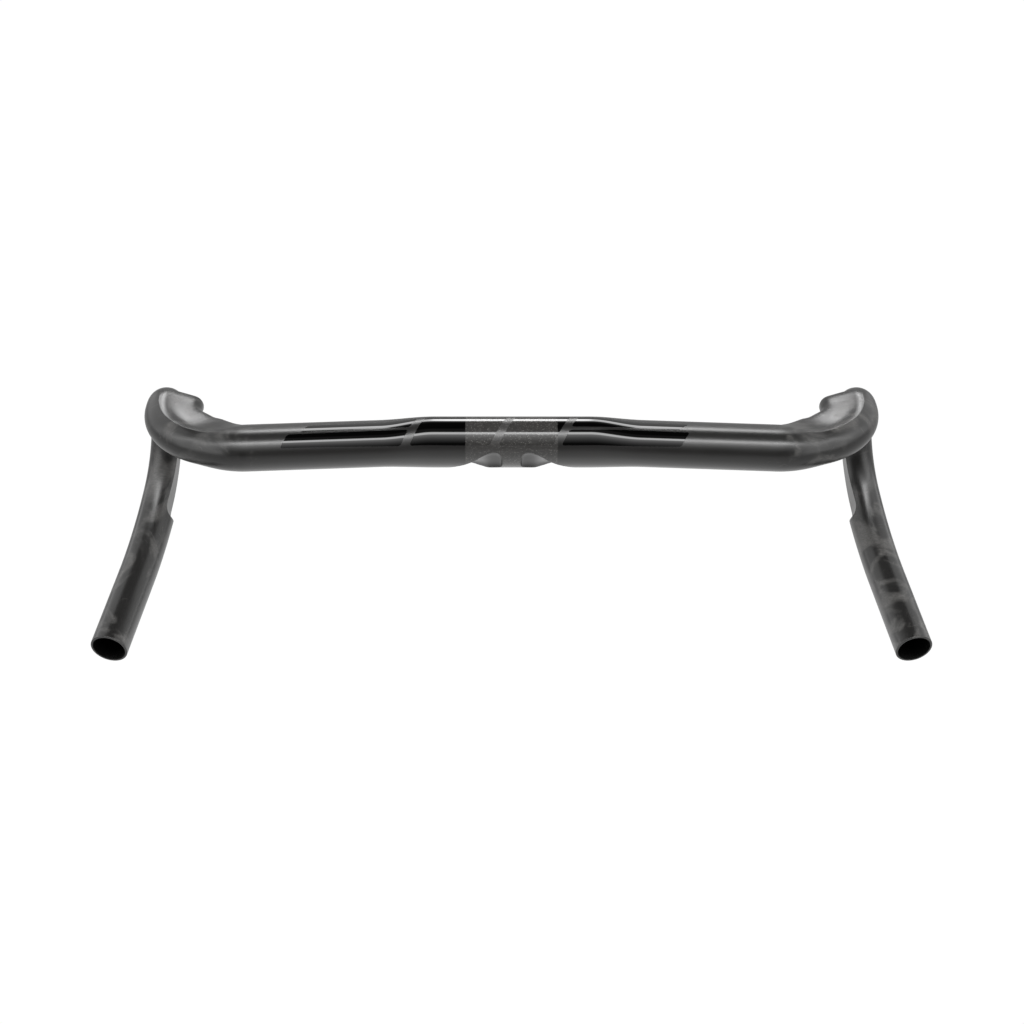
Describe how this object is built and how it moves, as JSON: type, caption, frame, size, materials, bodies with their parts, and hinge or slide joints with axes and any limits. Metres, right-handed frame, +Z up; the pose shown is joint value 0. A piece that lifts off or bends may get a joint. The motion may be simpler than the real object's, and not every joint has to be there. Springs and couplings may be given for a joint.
{
  "type": "drop handlebar",
  "caption": "Flared drop handlebar in satin carbon with a round stem clamp zone, inner cable routing, recessed hooks and open bar ends.",
  "frame": {"origin": "centre of the stem clamp zone, on its axis", "axes": "+X along the clamp axis to the rider's right, +Y forward, +Z up with the ramps close to level"},
  "size_m": [0.5292, 0.1467, 0.1418],
  "materials": {
    "satin_carbon": "satin black carbon laminate",
    "left_raw_carbon": "satin clear coat over raw carbon",
    "right_raw_carbon": "satin clear coat over raw carbon",
    "left_sleeve_carbon": "bare carbon laminate",
    "right_sleeve_carbon": "bare carbon laminate"
  },
  "bodies": {
    "root": {"top_section": "satin_carbon", "left_drop": "left_raw_carbon", "right_drop": "right_raw_carbon", "left_joint_sleeve": "left_sleeve_carbon", "right_joint_sleeve": "right_sleeve_carbon"}
  },
  "joints": []
}
